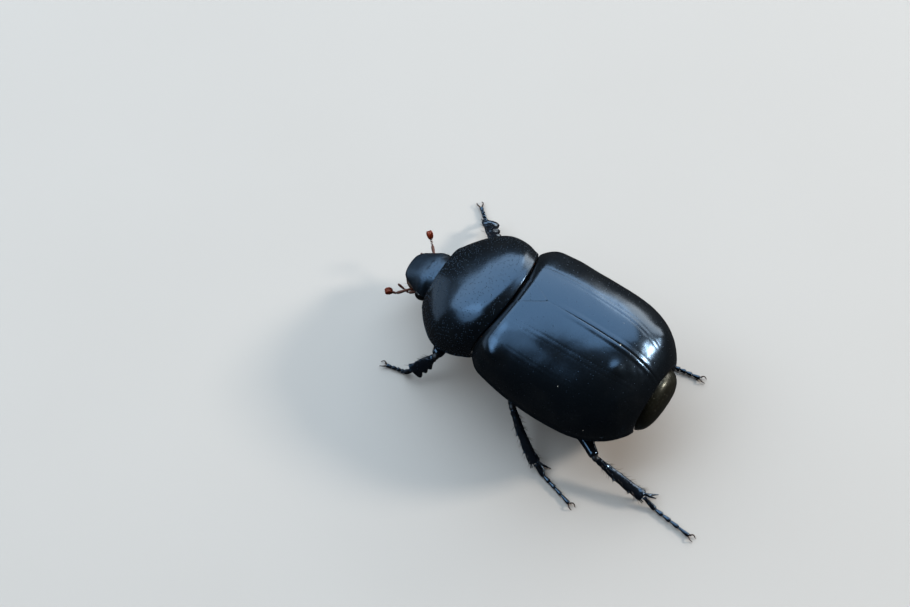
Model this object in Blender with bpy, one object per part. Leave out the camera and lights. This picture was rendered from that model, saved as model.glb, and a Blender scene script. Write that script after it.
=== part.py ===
"""A black scarab beetle, life size, standing on the ground with its legs spread as it walks.

The body is laid out in millimetres about the waist: y = 0 where the wing cases begin, +Y towards
the tail, +X towards the beetle's left and z = 0 on the ground. An empty then carries every piece,
so that the origin is at the middle of the beetle's outline, on the ground.
"""
from math import asin, cos, pi, radians, sin, sqrt

import bmesh
import bpy
from mathutils import Matrix, Vector

MM = 0.001                  # one millimetre in metres

# Shell
PLATE = 0.55                # thickness of a shell plate
GAP = 0.12                  # joint between neighbouring pieces
WELD = 0.0005               # corners nearer than this after a cut or a union are one corner
SQUARENESS = 2 / 2.2        # exponent that gives the shell its slightly square cross-section

# Wing cases (elytra)
CASE_LENGTH = 11.6          # length that the cases would have if they closed to a point
CASE_CUT = 0.945            # share of that length at which their rear edge lies
CASE_HALF_WIDTH = 5.5
CASE_WIDEST = 0.48          # share of the length at the widest point
CASE_TAPER = 0.125          # share of the width lost towards the base
CASE_ROUNDING = 2.85        # exponent of the outline behind the widest point
CASE_CROWN = 4.95           # height of the back above the side margin
CASE_HIGHEST = 0.42
CROWN_TAPER = 0.16
CROWN_ROUNDING = 2.9
CASE_MARGIN_Z = 4.4         # height of the side margin above the ground, at its two ends
CASE_MARGIN_SAG = 0.3       # how much lower it hangs between them
CASE_MARGIN_LIFT = 0.5      # how much higher it starts, at the shoulder
SHOULDER = 0.09             # share of the length over which the base is rounded
SHOULDER_NARROWING = 0.13   # what the rounding takes off the width, and off the height, at the base
SHOULDER_LOWERING = 0.2
LIFT_LENGTH = 0.35          # share of the length over which the margin rises to the shoulder
TURN_UNDER = radians(112)   # how far round the side the cases reach
UNDER_DEPTH = 1.5           # depth that a full half turn under the margin would reach

# Shield between wing cases and head (pronotum)
SHIELD_LENGTH = 5.85
SHIELD_HALF_WIDTH = 4.75
SHIELD_FRONT_HALF_WIDTH = 2.25
SHIELD_WIDEST = 0.62
SHIELD_CROWN = 4.1
SHIELD_FRONT_CROWN = 2.3
SHIELD_HIGHEST = 0.78
SHIELD_MARGIN_Z = 4.45
SHIELD_DIP = 1.2            # how much lower the front of the margin lies than its rear
SHIELD_TURN = radians(120)
SHIELD_REAR_TAPER = 0.09    # share of width and height lost from the widest point to the rear

# Small triangular plate between shield and wing cases (scutellum)
SCUTELLUM_HALF_WIDTH = 1.15
SCUTELLUM_LENGTH = 2.05

# Underside
BELLY_Z = 1.6
WAIST_Y = -0.45             # joint between the front and the middle ring of the chest
ABDOMEN_Y = 4.7
ABDOMEN_END_Y = 10.7
KEEL = 2 / 1.5              # exponent that draws the underside in towards the legs

# Head
HEAD_ROOT = Vector((0, -5.15, 3.95))
HEAD_FRONT = Vector((0, -8.15, 2.75))
EYE = Vector((1.58, -6.35, 3.5))
EYE_RADIUS = 0.45
JAW = (((0.62, -7.2, 1.95), 0.42, 0.28), ((0.62, -7.8, 1.95), 0.4, 0.28), ((0.42, -8.2, 2.1), 0.22, 0.22))
PALP = ((1.35, -6.95, 1.6), (1.5, -7.5, 1.45), (1.5, -8.0, 1.5))
FEELER_THICKNESS = 0.5

# Legs
FOOT_RADIUS = 0.27
FOOT_AXIS_Z = 0.22          # lower than the radius, so that each foot stands on a narrow flat
TOE_COUNT = 5
CLAW_LENGTH = 0.6
CLAW_RADIUS = 0.14
CLAW_SPREAD = 0.3

# hip pieces: half sizes across, along and in height, and place on the left side
COXA_RADII = {"front": (0.95, 0.62, 0.75), "middle": (0.85, 0.6, 0.6), "hind": (1.75, 0.55, 0.6)}
COXA_X = {"front": 1.15, "middle": 1.15, "hind": 2.05}
COXA_Y = {"front": -3.6, "middle": 1.3, "hind": 3.95}
COXA_Z = {"front": 2.15, "middle": 1.9, "hind": 2.1}
# half widths of the thigh at its root, middle and knee, and the place of its root
THIGH = {"front": (0.42, 0.56, 0.38), "middle": (0.4, 0.58, 0.36), "hind": (0.4, 0.7, 0.38)}
THIGH_ROOT = {"front": (2.32, -3.35, 1.8), "middle": (2.0, 2.0, 1.65), "hind": (1.05, 4.95, 1.3)}
# half widths of the shin at the knee, middle and end, and its thickness as a share of them
SHIN_FLATNESS = {"front": 0.5, "middle": 0.8, "hind": 0.8}
SHIN = {"front": (0.27, 0.5, 0.62), "middle": (0.25, 0.3, 0.42), "hind": (0.25, 0.31, 0.44)}
# places of the outer teeth along the shin and their length, and the inner spurs at its end
TEETH = {"front": ((0.42, 0.68, 0.95), 0.62), "middle": ((0.4, 0.72), 0.32), "hind": ((0.4, 0.72), 0.32)}
SPURS = {"front": (1,), "middle": (1, -1), "hind": (1, -1)}
SPUR_FLOOR = 0.15           # teeth and spurs stay this far above the ground
SHIN_TURN = {"front_left": radians(60), "front_right": radians(15)}  # how far the teeth point down

# knee, ankle and the end of the last toe of each leg, as the walking beetle sets them
STANCE = {
    "front_left": ((4.55, -2.8, 2.8), (5.5, -4.05, 0.95), (6.5, -6.3)),
    "front_right": ((-4.6, -4.0, 2.7), (-6.4, -5.75, 0.95), (-8.2, -7.3)),
    "middle_left": ((4.85, 2.75, 2.65), (6.5, 6.0, 0.62), (8.1, 9.9)),
    "middle_right": ((-4.7, 2.3, 2.65), (-6.0, 5.2, 0.6), (-6.6, 8.6)),
    "hind_left": ((4.6, 9.15, 2.0), (4.72, 13.15, 0.62), (5.5, 17.8)),
    "hind_right": ((-5.0, 5.6, 2.6), (-4.9, 9.2, 0.62), (-5.0, 12.5)),
}

BLACK = ("black_shell", (0.012, 0.014, 0.02), 0.25)
UNDERSIDE = ("dark_underside", (0.02, 0.014, 0.012), 0.4)
LIMB = ("black_limb", (0.014, 0.013, 0.015), 0.3)
EYE_BLACK = ("eye", (0.01, 0.01, 0.012), 0.12)
RUST = ("rust_feeler", (0.32, 0.06, 0.02), 0.45)

for old in list(bpy.data.objects):
    bpy.data.objects.remove(old, do_unlink=True)

beetle = bpy.data.objects.new("beetle", None)
bpy.context.scene.collection.objects.link(beetle)
made = {}


def material(look):
    """The Principled material of one finish, made on its first use."""
    name, colour, roughness = look
    if name in bpy.data.materials:
        return bpy.data.materials[name]
    finish = bpy.data.materials.new(name)
    finish.use_nodes = True
    shader = finish.node_tree.nodes["Principled BSDF"]
    shader.inputs["Base Color"].default_value = (*colour, 1)
    shader.inputs["Roughness"].default_value = roughness
    shader.inputs["Metallic"].default_value = 0
    return finish


def add(name, bm, look, pivot):
    """Turn a finished bmesh into the sub-part's object, placed by its pivot and carried by the empty."""
    bmesh.ops.recalc_face_normals(bm, faces=bm.faces[:])
    if bm.calc_volume(signed=True) < 0:
        bmesh.ops.reverse_faces(bm, faces=bm.faces[:])
    to_pivot = Matrix.Scale(MM, 4) @ Matrix.Translation(-Vector(pivot))
    bmesh.ops.transform(bm, matrix=to_pivot, verts=bm.verts[:])
    mesh = bpy.data.meshes.new(name)
    bm.to_mesh(mesh)
    bm.free()
    mesh.materials.append(material(look))
    mesh.shade_smooth()
    mesh.set_sharp_from_angle(angle=radians(40))
    piece = bpy.data.objects.new(name, mesh)
    bpy.context.scene.collection.objects.link(piece)
    piece.parent = beetle
    piece.location = Vector(pivot) * MM
    made[name] = piece
    return piece


def combine(bm, tools, operation):
    """Boolean a bmesh with each of a list of others, which are used up, and give back the result."""
    for tool in tools:
        pair = []
        for source in (bm, tool):
            bmesh.ops.recalc_face_normals(source, faces=source.faces[:])
            mesh = bpy.data.meshes.new("work")
            source.to_mesh(mesh)
            source.free()
            work = bpy.data.objects.new("work", mesh)
            bpy.context.scene.collection.objects.link(work)
            pair.append(work)
        cut = pair[0].modifiers.new("cut", "BOOLEAN")
        cut.operation = operation
        cut.solver = "EXACT"
        cut.object = pair[1]
        result = pair[0].evaluated_get(bpy.context.evaluated_depsgraph_get())
        bm = bmesh.new()
        bm.from_mesh(result.to_mesh())
        result.to_mesh_clear()
        for work in pair:
            mesh = work.data
            bpy.data.objects.remove(work, do_unlink=True)
            bpy.data.meshes.remove(mesh)
        bmesh.ops.remove_doubles(bm, verts=bm.verts[:], dist=WELD)
        bmesh.ops.dissolve_degenerate(bm, dist=WELD, edges=bm.edges[:])
    return bm


# ---------------------------------------------------------------- shapes that many pieces share

def curved_plate(place, along, across):
    """A closed plate. place(u, v, depth) gives its points, u and v from 0 to 1, depth into the shell."""
    bm = bmesh.new()
    bmesh.ops.create_grid(bm, x_segments=along, y_segments=across, size=0.5)
    copy = bmesh.ops.extrude_face_region(bm, geom=bm.faces[:])
    for corner in copy["geom"]:
        if isinstance(corner, bmesh.types.BMVert):
            corner.co.z = PLATE
    for corner in bm.verts:
        u, v, depth = corner.co
        corner.co = place(u + 0.5, v + 0.5, depth)
    return bm


def loft(ring, rings, sides):
    """A closed body drawn through rings. ring(k, angle) gives the point of ring k at that angle."""
    bm = bmesh.new()
    bmesh.ops.create_circle(bm, cap_ends=True, segments=sides, radius=1)
    angle = {corner: 2 * pi * i / sides for i, corner in enumerate(bm.verts[:])}
    end = bm.faces[:][0]
    for k in range(rings):
        if k:
            before = set(end.verts)
            grown = bmesh.ops.extrude_face_region(bm, geom=[end])["geom"]
            if k > 1:
                bmesh.ops.delete(bm, geom=[end], context="FACES_ONLY")
            end = [face for face in grown if isinstance(face, bmesh.types.BMFace)][0]
            for corner in end.verts:
                link = [e for e in corner.link_edges if e.other_vert(corner) in before][0]
                angle[corner] = angle[link.other_vert(corner)]
        for corner in end.verts:
            corner.co = ring(k, angle[corner])
    return bm


def rod(stations, flat_side, sides=8, facing=None):
    """A limb through stations of (centre, half width, half depth), with rounded ends.

    flat_side is the direction across which the half depths are measured. The rings stand square to
    the way between their neighbours, or all to the one direction facing.
    """
    centres = [Vector(point) for point, _, _ in stations]
    rows = [(centre, half, deep) for centre, (_, half, deep) in zip(centres, stations)]
    tips = []
    for (centre, half, deep), other in ((rows[0], centres[1]), (rows[-1], centres[-2])):
        away = (centre - other).normalized()
        tips.append((centre + away * min(half, deep) * 0.75, half * 0.5, deep * 0.5))
    rows = [tips[0]] + rows + [tips[1]]
    steps = [rows[1][0] - rows[0][0]]
    steps += [rows[k + 1][0] - rows[k - 1][0] for k in range(1, len(rows) - 1)]
    steps.append(rows[-1][0] - rows[-2][0])
    if facing:
        steps = [Vector(facing)] * len(rows)

    def ring(k, angle):
        centre, half, deep = rows[k]
        out = Vector(flat_side)
        wide = steps[k].cross(out).normalized()
        out = wide.cross(steps[k]).normalized()
        return centre + wide * half * cos(angle) + out * deep * sin(angle)
    return loft(ring, len(rows), sides)


def cone(base, tip, radius, point=0.07, sides=6):
    """A spur, tooth or claw from base to tip."""
    base, tip = Vector(base), Vector(tip)
    reach = tip - base
    bm = bmesh.new()
    bmesh.ops.create_cone(bm, cap_ends=True, segments=sides, radius1=radius, radius2=point,
                          depth=reach.length)
    turn = Vector((0, 0, 1)).rotation_difference(reach).to_matrix().to_4x4()
    place = Matrix.Translation(base.lerp(tip, 0.5)) @ turn
    bmesh.ops.transform(bm, matrix=place, verts=bm.verts[:])
    return bm


def ball(centre, radii, segments=10, rings=7):
    """An ellipsoid."""
    bm = bmesh.new()
    bmesh.ops.create_uvsphere(bm, u_segments=segments, v_segments=rings, radius=1)
    bmesh.ops.scale(bm, vec=radii, verts=bm.verts[:])
    bmesh.ops.translate(bm, vec=centre, verts=bm.verts[:])
    return bm


# ---------------------------------------------------------------- the form of the trunk

def shoulder(t):
    """1 at the very base of the wing cases, 0 where their rounded base ends."""
    return max(0, 1 - t / SHOULDER) ** 2


def dome(t, widest, taper, power):
    """Width or height along the wing cases as a share of its greatest value."""
    if t < widest:
        return 1 - taper * ((widest - t) / widest) ** 2
    return sqrt(max(0, 1 - ((t - widest) / (1 - widest)) ** power))


def case_half_width(t):
    outline = CASE_HALF_WIDTH * dome(t, CASE_WIDEST, CASE_TAPER, CASE_ROUNDING)
    return outline * (1 - SHOULDER_NARROWING * shoulder(t))


def case_lift(t):
    """How much the side margin rises towards the shoulder, while the back stays level."""
    return CASE_MARGIN_LIFT * max(0, 1 - t / LIFT_LENGTH) ** 2


def case_crown(t):
    back = CASE_CROWN * dome(t, CASE_HIGHEST, CROWN_TAPER, CROWN_ROUNDING)
    return back * (1 - SHOULDER_LOWERING * shoulder(t)) - case_lift(t)


def case_margin_z(t):
    return CASE_MARGIN_Z - CASE_MARGIN_SAG * sin(pi * t) + case_lift(t)


def case_base_y(s):
    """The base edge of the wing cases, s from 0 at the seam to 1 at the side."""
    return 0.2 - 0.7 * s * s


def shield_half_width(u):
    if u < SHIELD_WIDEST:
        rise = sin(pi / 2 * u / SHIELD_WIDEST) ** 0.9
        return SHIELD_FRONT_HALF_WIDTH + (SHIELD_HALF_WIDTH - SHIELD_FRONT_HALF_WIDTH) * rise
    return SHIELD_HALF_WIDTH * (1 - SHIELD_REAR_TAPER * ((u - SHIELD_WIDEST) / (1 - SHIELD_WIDEST)) ** 2)


def shield_crown(u):
    if u < SHIELD_HIGHEST:
        rise = sin(pi / 2 * u / SHIELD_HIGHEST) ** 0.9
        return SHIELD_FRONT_CROWN + (SHIELD_CROWN - SHIELD_FRONT_CROWN) * rise
    return SHIELD_CROWN * (1 - SHIELD_REAR_TAPER * ((u - SHIELD_HIGHEST) / (1 - SHIELD_HIGHEST)) ** 2)


def shield_y(u, s):
    """Front edge hollowed round the head, rear edge bowed towards the wing cases."""
    front = -SHIELD_LENGTH + 0.5 * (1 - s * s)
    rear = -0.15 - 0.75 * s * s
    return front + (rear - front) * u


def shield_margin_z(u):
    return SHIELD_MARGIN_Z - SHIELD_DIP * (1 - u)


def eased(u, ends):
    """Spread rows so that they lie closer together at both ends."""
    return u - ends * sin(2 * pi * u) / (2 * pi)


def scutellum_edge(y):
    """Half width of the small triangular plate at this y."""
    if y >= SCUTELLUM_LENGTH:
        return 0
    return SCUTELLUM_HALF_WIDTH * (1 - max(0, y) / SCUTELLUM_LENGTH) ** 0.9


# ---------------------------------------------------------------- wing cases

def wing_case(name, side):
    """One hard wing case: arched over the back, rolled under at the side, cut round the scutellum."""
    def place(u, v, depth):
        t = eased(u, 0.5) * CASE_CUT
        half, crown = case_half_width(t) - depth, case_crown(t) - depth
        seam = GAP / 2
        beside = scutellum_edge(0.2 + CASE_LENGTH * t)
        if beside > 0:
            seam += beside + GAP / 2
        first = asin((seam / half) ** (1 / SQUARENESS))
        turn = first + (TURN_UNDER - first) * v
        s, c = sin(turn), cos(turn)
        y = case_base_y(s)
        y += (CASE_LENGTH - y) * t
        z = case_margin_z(t) + (crown * c ** SQUARENESS if c > 0 else UNDER_DEPTH * c)
        return Vector((side * half * s ** SQUARENESS, y, z))
    add(name, curved_plate(place, 16, 11), BLACK, (side * CASE_HALF_WIDTH / 2, 0, CASE_MARGIN_Z))


def scutellum():
    """The triangular plate, flush with the wing cases round it."""
    def place(u, v, depth):
        y = 0.05 + (SCUTELLUM_LENGTH - 0.2) * u
        t = (y - 0.2) / CASE_LENGTH
        t = max(0, t)
        half, crown = case_half_width(t), case_crown(t)
        x = (scutellum_edge(y) - 0.02) * (2 * v - 1)
        s = (abs(x) / half) ** (1 / SQUARENESS)
        z = case_margin_z(t) + crown * sqrt(1 - s * s) ** SQUARENESS - depth
        return Vector((x, y, z))
    add("scutellum", curved_plate(place, 5, 4), BLACK, (0, 0, 7.5))


def shield():
    """The pronotum, one arched plate that hoods the head and rolls under at the sides."""
    def place(u, v, depth):
        u = eased(u, 0.3)
        turn = SHIELD_TURN * (2 * v - 1)
        half, crown = shield_half_width(u) - depth, shield_crown(u) - depth
        s, c = sin(turn), cos(turn)
        x = half * abs(s) ** SQUARENESS * (1 if s > 0 else -1)
        z = shield_margin_z(u) + (crown * c ** SQUARENESS if c > 0 else UNDER_DEPTH * c)
        return Vector((x, shield_y(u, abs(s)), z))
    add("pronotum", curved_plate(place, 11, 18), BLACK, (0, -3, SHIELD_MARGIN_Z))


# ---------------------------------------------------------------- body under the shell

def trunk(name, sections, sockets, look, sides=20):
    """A solid ring of the body through sections of (y, half width, crown, margin z, depth)."""
    def ring(k, angle):
        y, half, crown, margin, depth = sections[k]
        s, c = sin(angle), cos(angle)
        sign = 1 if s > 0 else -1
        if c > 0:
            return Vector((half * abs(s) ** SQUARENESS * sign, y, margin + crown * c ** SQUARENESS))
        return Vector((half * abs(s) ** KEEL * sign, y, margin - depth * abs(c) ** KEEL))
    bm = combine(loft(ring, len(sections), sides), sockets, "DIFFERENCE")
    middle = sections[len(sections) // 2]
    add(name, bm, look, (0, middle[0], middle[3]))


def under_case(y, depth, narrow=0.93):
    """Section of the body under the wing cases at this y; depth is a share of that of the belly."""
    bases = (case_base_y(0), case_base_y(1))
    shares = [min(CASE_CUT, max(0, (y - base) / (CASE_LENGTH - base))) for base in bases]
    inset = PLATE + GAP
    half = min(case_half_width(t) for t in shares) - inset
    crown = min(case_crown(t) for t in shares) - inset
    margin = case_margin_z(shares[0])
    return (y, half * narrow, crown, margin, (margin - BELLY_Z) * depth)


def under_shield(y, depth):
    """Section of the body that fits under the pronotum at this y."""
    u = (y + SHIELD_LENGTH - 0.25) / (SHIELD_LENGTH - 0.9)
    inset = PLATE + 3 * GAP
    half, crown = shield_half_width(u) - inset, shield_crown(u) - inset
    return (y, half * 0.86, crown, shield_margin_z(u), depth)


def pygidium():
    """The bare last plate of the abdomen, a blunt shield that bulges out below the wing cases."""
    half = case_half_width(CASE_CUT) - PLATE - 1.5 * GAP
    crown = case_crown(CASE_CUT) - PLATE - GAP
    low = 2.4
    back = ABDOMEN_END_Y + GAP
    margin = case_margin_z(CASE_CUT)
    rows = [(0, 1), (0.2, 1), (0.5, 0.94), (0.78, 0.8), (0.97, 0.58), (1.08, 0.28)]

    def ring(k, angle):
        out, size = rows[k]
        s, c = sin(angle), cos(angle)
        z = (crown if c > 0 else low) * c * size
        lean = 0.16 * max(0, -z) * (1 if k > 1 else 0)
        return Vector((half * s * size, back + out - lean, margin + z))
    add("pygidium", loft(ring, len(rows), 18), BLACK, (0, back, CASE_MARGIN_Z))


# ---------------------------------------------------------------- head

def head_axis(s):
    return HEAD_ROOT.lerp(HEAD_FRONT, s)


def head():
    """The head: narrow where it enters the pronotum, widest at the eyes, flat and blunt in front."""
    down = (HEAD_FRONT - HEAD_ROOT).normalized()
    up = Vector((1, 0, 0)).cross(down) * -1
    # share of the length, half width, height above and below the axis
    rows = [(0, 1.2, 0.75, 0.75), (0.12, 1.4, 0.9, 0.95), (0.27, 1.55, 0.95, 1.05), (0.36, 1.84, 0.93, 1.1),
            (0.46, 1.93, 0.88, 1.05), (0.58, 1.68, 0.78, 0.85), (0.73, 1.4, 0.6, 0.55), (0.88, 1.14, 0.42, 0.34),
            (0.97, 0.85, 0.3, 0.24), (1, 0.6, 0.16, 0.14)]

    def ring(k, angle):
        s, half, above, below = rows[k]
        c = cos(angle)
        rise = (above if c > 0 else below) * c
        side = sin(angle)
        square = abs(side) ** 0.85 * (1 if side > 0 else -1)
        return head_axis(s) + Vector((half * square, 0, 0)) + up * rise
    body = loft(ring, len(rows), 18)
    top = head_axis(0.5) + up * 0.76
    bumps = [ball(top + Vector((side * 0.34, 0, 0)), (0.16, 0.16, 0.2), 6, 5) for side in (1, -1)]
    body = combine(body, bumps, "UNION")
    socket = [ball(Vector((side * EYE.x, EYE.y, EYE.z)), [EYE_RADIUS + GAP * 0.8] * 3) for side in (1, -1)]
    add("head", combine(body, socket, "DIFFERENCE"), BLACK, HEAD_ROOT)


def mirrored(point, side):
    return Vector((point[0] * side, point[1], point[2]))


def mouth_and_feelers(side, word, elbow, club):
    """Eye, jaw, palp, elbowed antenna and its leaf club on one side of the head."""
    add("eye_" + word, ball(mirrored(EYE, side), [EYE_RADIUS] * 3), EYE_BLACK, mirrored(EYE, side))

    jaw = [(mirrored(point, side), half, deep) for point, half, deep in JAW]
    add("mandible_" + word, rod(jaw, (0, 0, 1)), LIMB, jaw[0][0])

    half = FEELER_THICKNESS / 2
    palp = [(mirrored(point, side), half, half) for point in PALP]
    add("palp_" + word, rod(palp, (0, 0, 1), 6), RUST, palp[0][0])

    root = mirrored((1.75, -7.1, 2.45), side)
    stem = [(root, half, half), (root.lerp(Vector(elbow), 0.5), half, half), (elbow, half, half)]
    add("antenna_" + word, rod(stem, (0, 0, 1), 6), RUST, root)
    reach = (Vector(club) - Vector(elbow)).normalized()
    start = Vector(elbow) + reach * (half + 0.3 + GAP)
    leaf = [(start, 0.3, 0.28), (start.lerp(Vector(club), 0.5), 0.36, 0.32), (club, 0.3, 0.28)]
    add("club_" + word, rod(leaf, (0, 0, 1)), RUST, start)


def chin():
    """The labium, a small plate that closes the mouth from below."""
    plate = [((0, -5.9, 2.05), 0.75, 0.3), ((0, -6.6, 1.75), 0.7, 0.3), ((0, -7.0, 1.65), 0.4, 0.25)]
    add("labium", rod(plate, (0, 0, 1)), UNDERSIDE, plate[0][0])


# ---------------------------------------------------------------- legs

def coxa_centre(pair, side):
    return Vector((side * COXA_X[pair], COXA_Y[pair], COXA_Z[pair]))


def coxa_sockets(pairs):
    """Cutters that clear the hip pieces out of the body."""
    return [ball(coxa_centre(pair, side), [r + GAP for r in COXA_RADII[pair]])
            for pair in pairs for side in (1, -1)]


def thigh(pair, side, knee):
    """Femur, thick in the middle and blunt at the knee; gives back its root."""
    start, middle, end = THIGH[pair]
    root = mirrored(THIGH_ROOT[pair], side)
    rows = [(root, start, start * 0.85), (root.lerp(knee, 0.45), middle, middle * 0.6),
            (knee, end, end * 0.9)]
    return rod(rows, (0, 0, 1)), root


def shin_depth(pair, half):
    return max(FOOT_RADIUS, half * SHIN_FLATNESS[pair])


def above_ground(point):
    return Vector((point.x, point.y, max(point.z, SPUR_FLOOR)))


def shin(pair, side, knee, ankle, turn):
    """Tibia: slim at the knee and wider towards the foot, with outer teeth or ridges and end spurs."""
    root, middle, end = SHIN[pair]
    along = (ankle - knee).normalized()
    first = knee + along * (THIGH[pair][2] + root + GAP)
    out = along.cross(Vector((0, 0, 1))).normalized()
    if out.x * side < 0:
        out = -out
    down = along.cross(out)
    if down.z > 0:
        down = -down
    out = out * cos(turn) + down * sin(turn)
    across = along.cross(out)
    rows = [(first, root, root), (first.lerp(ankle, 0.45), middle, shin_depth(pair, middle)),
            (ankle, end, shin_depth(pair, end))]
    tools = []
    teeth, size = TEETH[pair]
    for share in teeth:
        at = first.lerp(ankle, share)
        tip = above_ground(at + out * (middle * 0.6 + size) + along * size * 0.4)
        tools.append(cone(at + out * middle * 0.3, tip, size * 0.6))
    for way in SPURS[pair]:
        tip = above_ground(ankle + along * 0.8 - out * (end + 0.22) + across * 0.25 * way)
        tools.append(cone(ankle - out * end * 0.45 + across * 0.12 * way, tip, 0.2))
    return combine(rod(rows, across), tools, "UNION"), first


def foot(pair, side, ankle, along, tip):
    """Tarsus: five toe joints, each a little wider at its far end, and a pair of claws.

    The toes lie on the ground, where the underside is cut to a narrow flat.
    """
    start = ankle + along * (0.75 * (shin_depth(pair, SHIN[pair][2]) + FOOT_RADIUS) + GAP)
    start.z = max(start.z, FOOT_AXIS_Z)
    last = Vector((tip[0], tip[1], FOOT_AXIS_Z))
    back = (start - last).normalized()
    last = last + Vector((back.x, back.y, 0)) * CLAW_LENGTH
    rows = []
    for toe in range(TOE_COUNT):
        for share, wide in ((0, 0.88), (0.72, 1.15)):
            at = start.lerp(last, (toe + share) / TOE_COUNT)
            sunk = min(1, (toe + share) / 1.4)
            at.z = start.z + (FOOT_AXIS_Z - start.z) * sunk
            rows.append((at, FOOT_RADIUS * wide, FOOT_RADIUS * (0.9 + 0.1 * wide)))
    rows.append((last, FOOT_RADIUS * 0.9, FOOT_RADIUS))
    bm = rod(rows, (0, 0, 1), 6, facing=last - start)
    ahead = Vector((-back.x, -back.y, 0)).normalized()
    spread = Vector((-ahead.y, ahead.x, 0))
    claws = []
    for turn in (1, -1):
        root = last + spread * turn * CLAW_RADIUS * 1.2
        hook = last + ahead * CLAW_LENGTH + spread * turn * CLAW_SPREAD
        hook.z -= 0.05 + 0.01 * turn
        claws.append(cone(root, hook, CLAW_RADIUS, 0.07))
    bm = combine(bm, claws, "UNION")
    ground = bmesh.new()
    bmesh.ops.create_cube(ground, size=20)
    bmesh.ops.translate(ground, vec=last + Vector((0, 0, -10 - last.z)), verts=ground.verts[:])
    bm = combine(bm, [ground], "DIFFERENCE")
    return bm, start


def leg(pair, word, side):
    """Hip, thigh, shin and foot of one leg, each a piece of its own."""
    ending = pair + "_" + word
    knee, ankle, tip = STANCE[ending]
    knee, ankle = Vector(knee), Vector(ankle)
    hip = coxa_centre(pair, side)
    add("coxa_" + ending, ball(hip, COXA_RADII[pair]), UNDERSIDE, hip)
    femur, root = thigh(pair, side, knee)
    add("femur_" + ending, femur, LIMB, root)
    tibia, first = shin(pair, side, knee, ankle, SHIN_TURN.get(ending, 0))
    add("tibia_" + ending, tibia, LIMB, first)
    tarsus, start = foot(pair, side, ankle, (ankle - knee).normalized(), tip)
    add("tarsus_" + ending, tarsus, LIMB, start)


# ---------------------------------------------------------------- the whole beetle

wing_case("elytron_left", 1)
wing_case("elytron_right", -1)
scutellum()
shield()

neck = [(-4.75, 0.9), (-4.4, 1.7), (-3.4, 2.3), (-2.2, 2.4), (-1.2, 2.3), (WAIST_Y - GAP - 0.35, 2.0)]
trunk("prosternum", [under_shield(y, depth) for y, depth in neck], coxa_sockets(["front"]), UNDERSIDE)

waist = [(WAIST_Y, 3.3, 2.4, CASE_MARGIN_Z, 2.0), (0.1, 3.3, 2.4, CASE_MARGIN_Z, 2.4)]
chest = waist + [under_case(y, depth) for y, depth in ((0.35, 0.92), (1.4, 1), (3.0, 1), (ABDOMEN_Y, 0.98))]
trunk("pterothorax", chest, coxa_sockets(["middle", "hind"]), UNDERSIDE)

tail = [(ABDOMEN_Y + GAP, 0.95), (6.2, 0.96), (7.6, 0.93), (8.8, 0.87), (9.8, 0.79), (10.4, 0.73),
        (ABDOMEN_END_Y, 0.69)]
trunk("abdomen", [under_case(y, depth) for y, depth in tail], [], UNDERSIDE)
pygidium()

head()
mouth_and_feelers(1, "left", (2.3, -7.75, 2.75), (2.6, -8.25, 2.95))
mouth_and_feelers(-1, "right", (-2.15, -7.65, 2.9), (-2.55, -8.35, 3.1))
chin()

for pair in ("front", "middle", "hind"):
    for word, side in (("left", 1), ("right", -1)):
        leg(pair, word, side)

# The origin goes to the middle of the outline, on the ground.
bpy.context.view_layer.update()
corners = [piece.matrix_world @ Vector(corner) for piece in made.values() for corner in piece.bound_box]
middle = [(min(c[i] for c in corners) + max(c[i] for c in corners)) / 2 for i in (0, 1)]
beetle.location = (-middle[0], -middle[1], 0)
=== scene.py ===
"""A black scarab beetle, life size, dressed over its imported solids: shell, head, feelers, underside and legs.

Each piece is drawn in millimetres about the waist, where the wing cases begin: +Y towards the tail,
+X towards the beetle's left, z = 0 on the ground. piece() then brings it into the frame.
"""
import random
from math import acos, asin, atan2, cos, degrees, exp, pi, radians, sin, sqrt

import bmesh
import bpy
from mathutils import Matrix, Vector, kdtree, noise


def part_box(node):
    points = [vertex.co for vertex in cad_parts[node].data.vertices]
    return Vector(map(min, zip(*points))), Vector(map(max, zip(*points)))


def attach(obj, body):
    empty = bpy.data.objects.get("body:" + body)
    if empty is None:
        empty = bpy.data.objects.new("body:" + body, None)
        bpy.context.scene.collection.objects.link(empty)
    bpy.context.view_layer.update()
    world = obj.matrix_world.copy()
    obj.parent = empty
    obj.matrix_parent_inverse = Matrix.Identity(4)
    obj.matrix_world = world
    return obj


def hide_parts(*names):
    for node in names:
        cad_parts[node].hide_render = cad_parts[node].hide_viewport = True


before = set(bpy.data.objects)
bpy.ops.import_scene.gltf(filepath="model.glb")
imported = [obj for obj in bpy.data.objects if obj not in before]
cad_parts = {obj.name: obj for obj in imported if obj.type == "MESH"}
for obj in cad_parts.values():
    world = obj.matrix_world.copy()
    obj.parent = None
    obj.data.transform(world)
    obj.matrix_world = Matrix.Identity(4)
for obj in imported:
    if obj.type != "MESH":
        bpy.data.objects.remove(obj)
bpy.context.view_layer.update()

# ---------------------------------------- wing cases
# The two hard fore wings, closed over the back and rolled under at the sides. They are black chitin
# about 0.3 mm thick, polished, with fine lines in pairs along them and small pits between. Each is
# hinged at the shoulder and locks to the other along the seam.

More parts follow.
